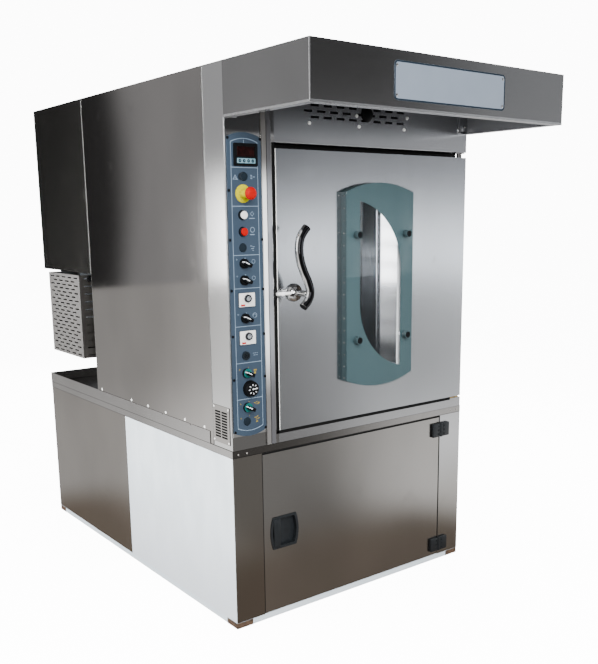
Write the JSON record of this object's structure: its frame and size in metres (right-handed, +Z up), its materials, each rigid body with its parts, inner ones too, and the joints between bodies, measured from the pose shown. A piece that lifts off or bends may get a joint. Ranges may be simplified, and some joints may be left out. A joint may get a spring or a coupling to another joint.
{
  "type": "rotating rack oven",
  "caption": "Bakery rack oven on a storage base: side-hinged door with curved glass, control column, deep hood, turning tray rack and a rear fan housing.",
  "frame": {"origin": "centre of the oven's footprint box, on the floor", "axes": "+X towards the oven's right side as its user sees it from the front, +Y from the front to the back, +Z up"},
  "size_m": [1.16, 2.152, 1.973],
  "materials": {
    "steel": "fine vertical brushed stainless steel, warm grey",
    "door_steel": "brushed stainless steel, cooler grey",
    "dark_steel": "brushed stainless steel reflecting dark surroundings",
    "galvanised": "dull zinc-coated steel",
    "film": "steel still covered with white protective film",
    "pale_film": "pale blue strip with brown-grey foot plates",
    "chrome": "polished chrome",
    "black": "satin black plastic",
    "panel_blue": "blue-grey printed overlay with pale lines",
    "red": "red plastic",
    "yellow": "yellow plastic",
    "white": "white plastic",
    "green": "teal-green plastic",
    "glass_print": "outer pane, printed grey-green with a clear leaf-shaped view",
    "glass": "clear inner pane",
    "seal": "black silicone seal",
    "brass": "plain brass",
    "motor_grey": "grey painted cast aluminium",
    "enamel": "dark oxidised sheath",
    "plate": "white nameplate with a thin dark blue border"
  },
  "bodies": {
    "oven": {"plinth": "pale_film", "base_frame": "galvanised", "base_deck": "steel", "base_panel_left_front": "film", "base_panel_left_rear": "steel", "base_panel_right": "steel", "base_panel_back": "steel", "base_front_frame": "dark_steel", "base_hinge_upper_leaf": "black", "base_hinge_lower_leaf": "black", "side_panel_left": "steel", "side_panel_right": "steel", "top_panel": "steel", "back_panel": "steel", "control_column": "steel", "vent_plate": "steel", "front_frame": "steel", "chamber_liner": "steel", "air_duct_wall": "steel", "gearmotor": "motor_grey", "rear_housing": "steel", "motor_cover": "steel", "fan_motor": "motor_grey", "heating_elements": "enamel", "hood": "steel", "nameplate": "plate", "panel_plate": "panel_blue", "temperature_controller": "black", "estop_collar": "yellow", "timer_bake_body": "white", "timer_steam_body": "white", "door_hinge_upper": "chrome", "door_hinge_lower": "brass"},
    "oven_door": {"door_skin": "door_steel", "door_pan": "steel", "door_gasket": "seal", "window_frame": "door_steel", "window_inner_glass": "glass", "window_outer_glass": "glass_print", "handle_rosette": "chrome"},
    "door_handle": {"door_handle": "chrome"},
    "latch_bolt": {"latch_bolt": "chrome"},
    "base_door": {"base_door": "dark_steel", "base_door_pull": "black", "base_hinge_upper_wing": "black", "base_hinge_lower_wing": "black"},
    "rack": {"rack_frame": "steel", "turntable": "galvanised"},
    "fan": {"fan_wheel": "galvanised"},
    "estop_head": {"estop_head": "red"},
    "start_button": {"start_button": "white"},
    "stop_button": {"stop_button": "red"},
    "timer_bake_dial": {"timer_bake_dial": "white"},
    "timer_steam_dial": {"timer_steam_dial": "white"},
    "program_dial": {"program_dial": "black"},
    "selector_lamp": {"selector_lamp": "black"},
    "selector_steam": {"selector_steam": "black"},
    "selector_fan": {"selector_fan": "black"},
    "selector_rack": {"selector_rack": "green"},
    "selector_power": {"selector_power": "green"}
  },
  "joints": [
    {"name": "oven_door_swing", "type": "hinge", "parent": "oven", "child": "oven_door", "pos_m": [0.5477, -0.602, 1.2135], "axis": [0, 0, 1], "range_deg": [0, 130]},
    {"name": "door_handle_turn", "type": "hinge", "parent": "oven_door", "child": "door_handle", "pos_m": [-0.305, -0.659, 1.214], "axis": [0, 1, 0], "range_deg": [0, 40]},
    {"name": "latch_bolt_slide", "type": "slide", "parent": "oven_door", "child": "latch_bolt", "axis": [1, 0, 0], "range_m": [0, 0.014]},
    {"name": "base_door_swing", "type": "hinge", "parent": "oven", "child": "base_door", "pos_m": [0.4545, -0.623, 0.334], "axis": [0, 0, 1], "range_deg": [0, 110]},
    {"name": "rack_turn", "type": "hinge", "parent": "oven", "child": "rack", "pos_m": [0.06985, 0.013, 0.772], "axis": [0, 0, 1], "continuous": true},
    {"name": "fan_turn", "type": "hinge", "parent": "oven", "child": "fan", "pos_m": [-0.4127, 0.8335, 1.3], "axis": [0, 0, 1], "continuous": true},
    {"name": "estop_press", "type": "slide", "parent": "oven", "child": "estop_head", "axis": [0, 1, 0], "range_m": [0, 0.006]},
    {"name": "start_press", "type": "slide", "parent": "oven", "child": "start_button", "axis": [0, 1, 0], "range_m": [0, 0.004], "stiffness_N_per_m": 600},
    {"name": "stop_press", "type": "slide", "parent": "oven", "child": "stop_button", "axis": [0, 1, 0], "range_m": [0, 0.004], "stiffness_N_per_m": 600},
    {"name": "selector_lamp_turn", "type": "hinge", "parent": "oven", "child": "selector_lamp", "pos_m": [-0.516, -0.624, 1.325], "axis": [0, 1, 0], "range_deg": [0, 90]},
    {"name": "selector_steam_turn", "type": "hinge", "parent": "oven", "child": "selector_steam", "pos_m": [-0.516, -0.624, 1.269], "axis": [0, 1, 0], "range_deg": [0, 90]},
    {"name": "selector_fan_turn", "type": "hinge", "parent": "oven", "child": "selector_fan", "pos_m": [-0.516, -0.624, 1.139], "axis": [0, 1, 0], "range_deg": [0, 90]},
    {"name": "selector_rack_turn", "type": "hinge", "parent": "oven", "child": "selector_rack", "pos_m": [-0.516, -0.624, 0.948], "axis": [0, 1, 0], "range_deg": [0, 90]},
    {"name": "selector_power_turn", "type": "hinge", "parent": "oven", "child": "selector_power", "pos_m": [-0.516, -0.624, 0.826], "axis": [0, 1, 0], "range_deg": [0, 90]},
    {"name": "timer_bake_turn", "type": "hinge", "parent": "oven", "child": "timer_bake_dial", "pos_m": [-0.51, -0.626, 1.207], "axis": [0, 1, 0], "range_deg": [0, 300]},
    {"name": "timer_steam_turn", "type": "hinge", "parent": "oven", "child": "timer_steam_dial", "pos_m": [-0.51, -0.626, 1.077], "axis": [0, 1, 0], "range_deg": [0, 300]},
    {"name": "program_turn", "type": "hinge", "parent": "oven", "child": "program_dial", "pos_m": [-0.503, -0.626, 0.892], "axis": [0, 1, 0], "range_deg": [0, 270]}
  ],
  "couplings": [
    {"joint": "latch_bolt_slide", "follows": "door_handle_turn", "m_per_rad": 0.02}
  ]
}
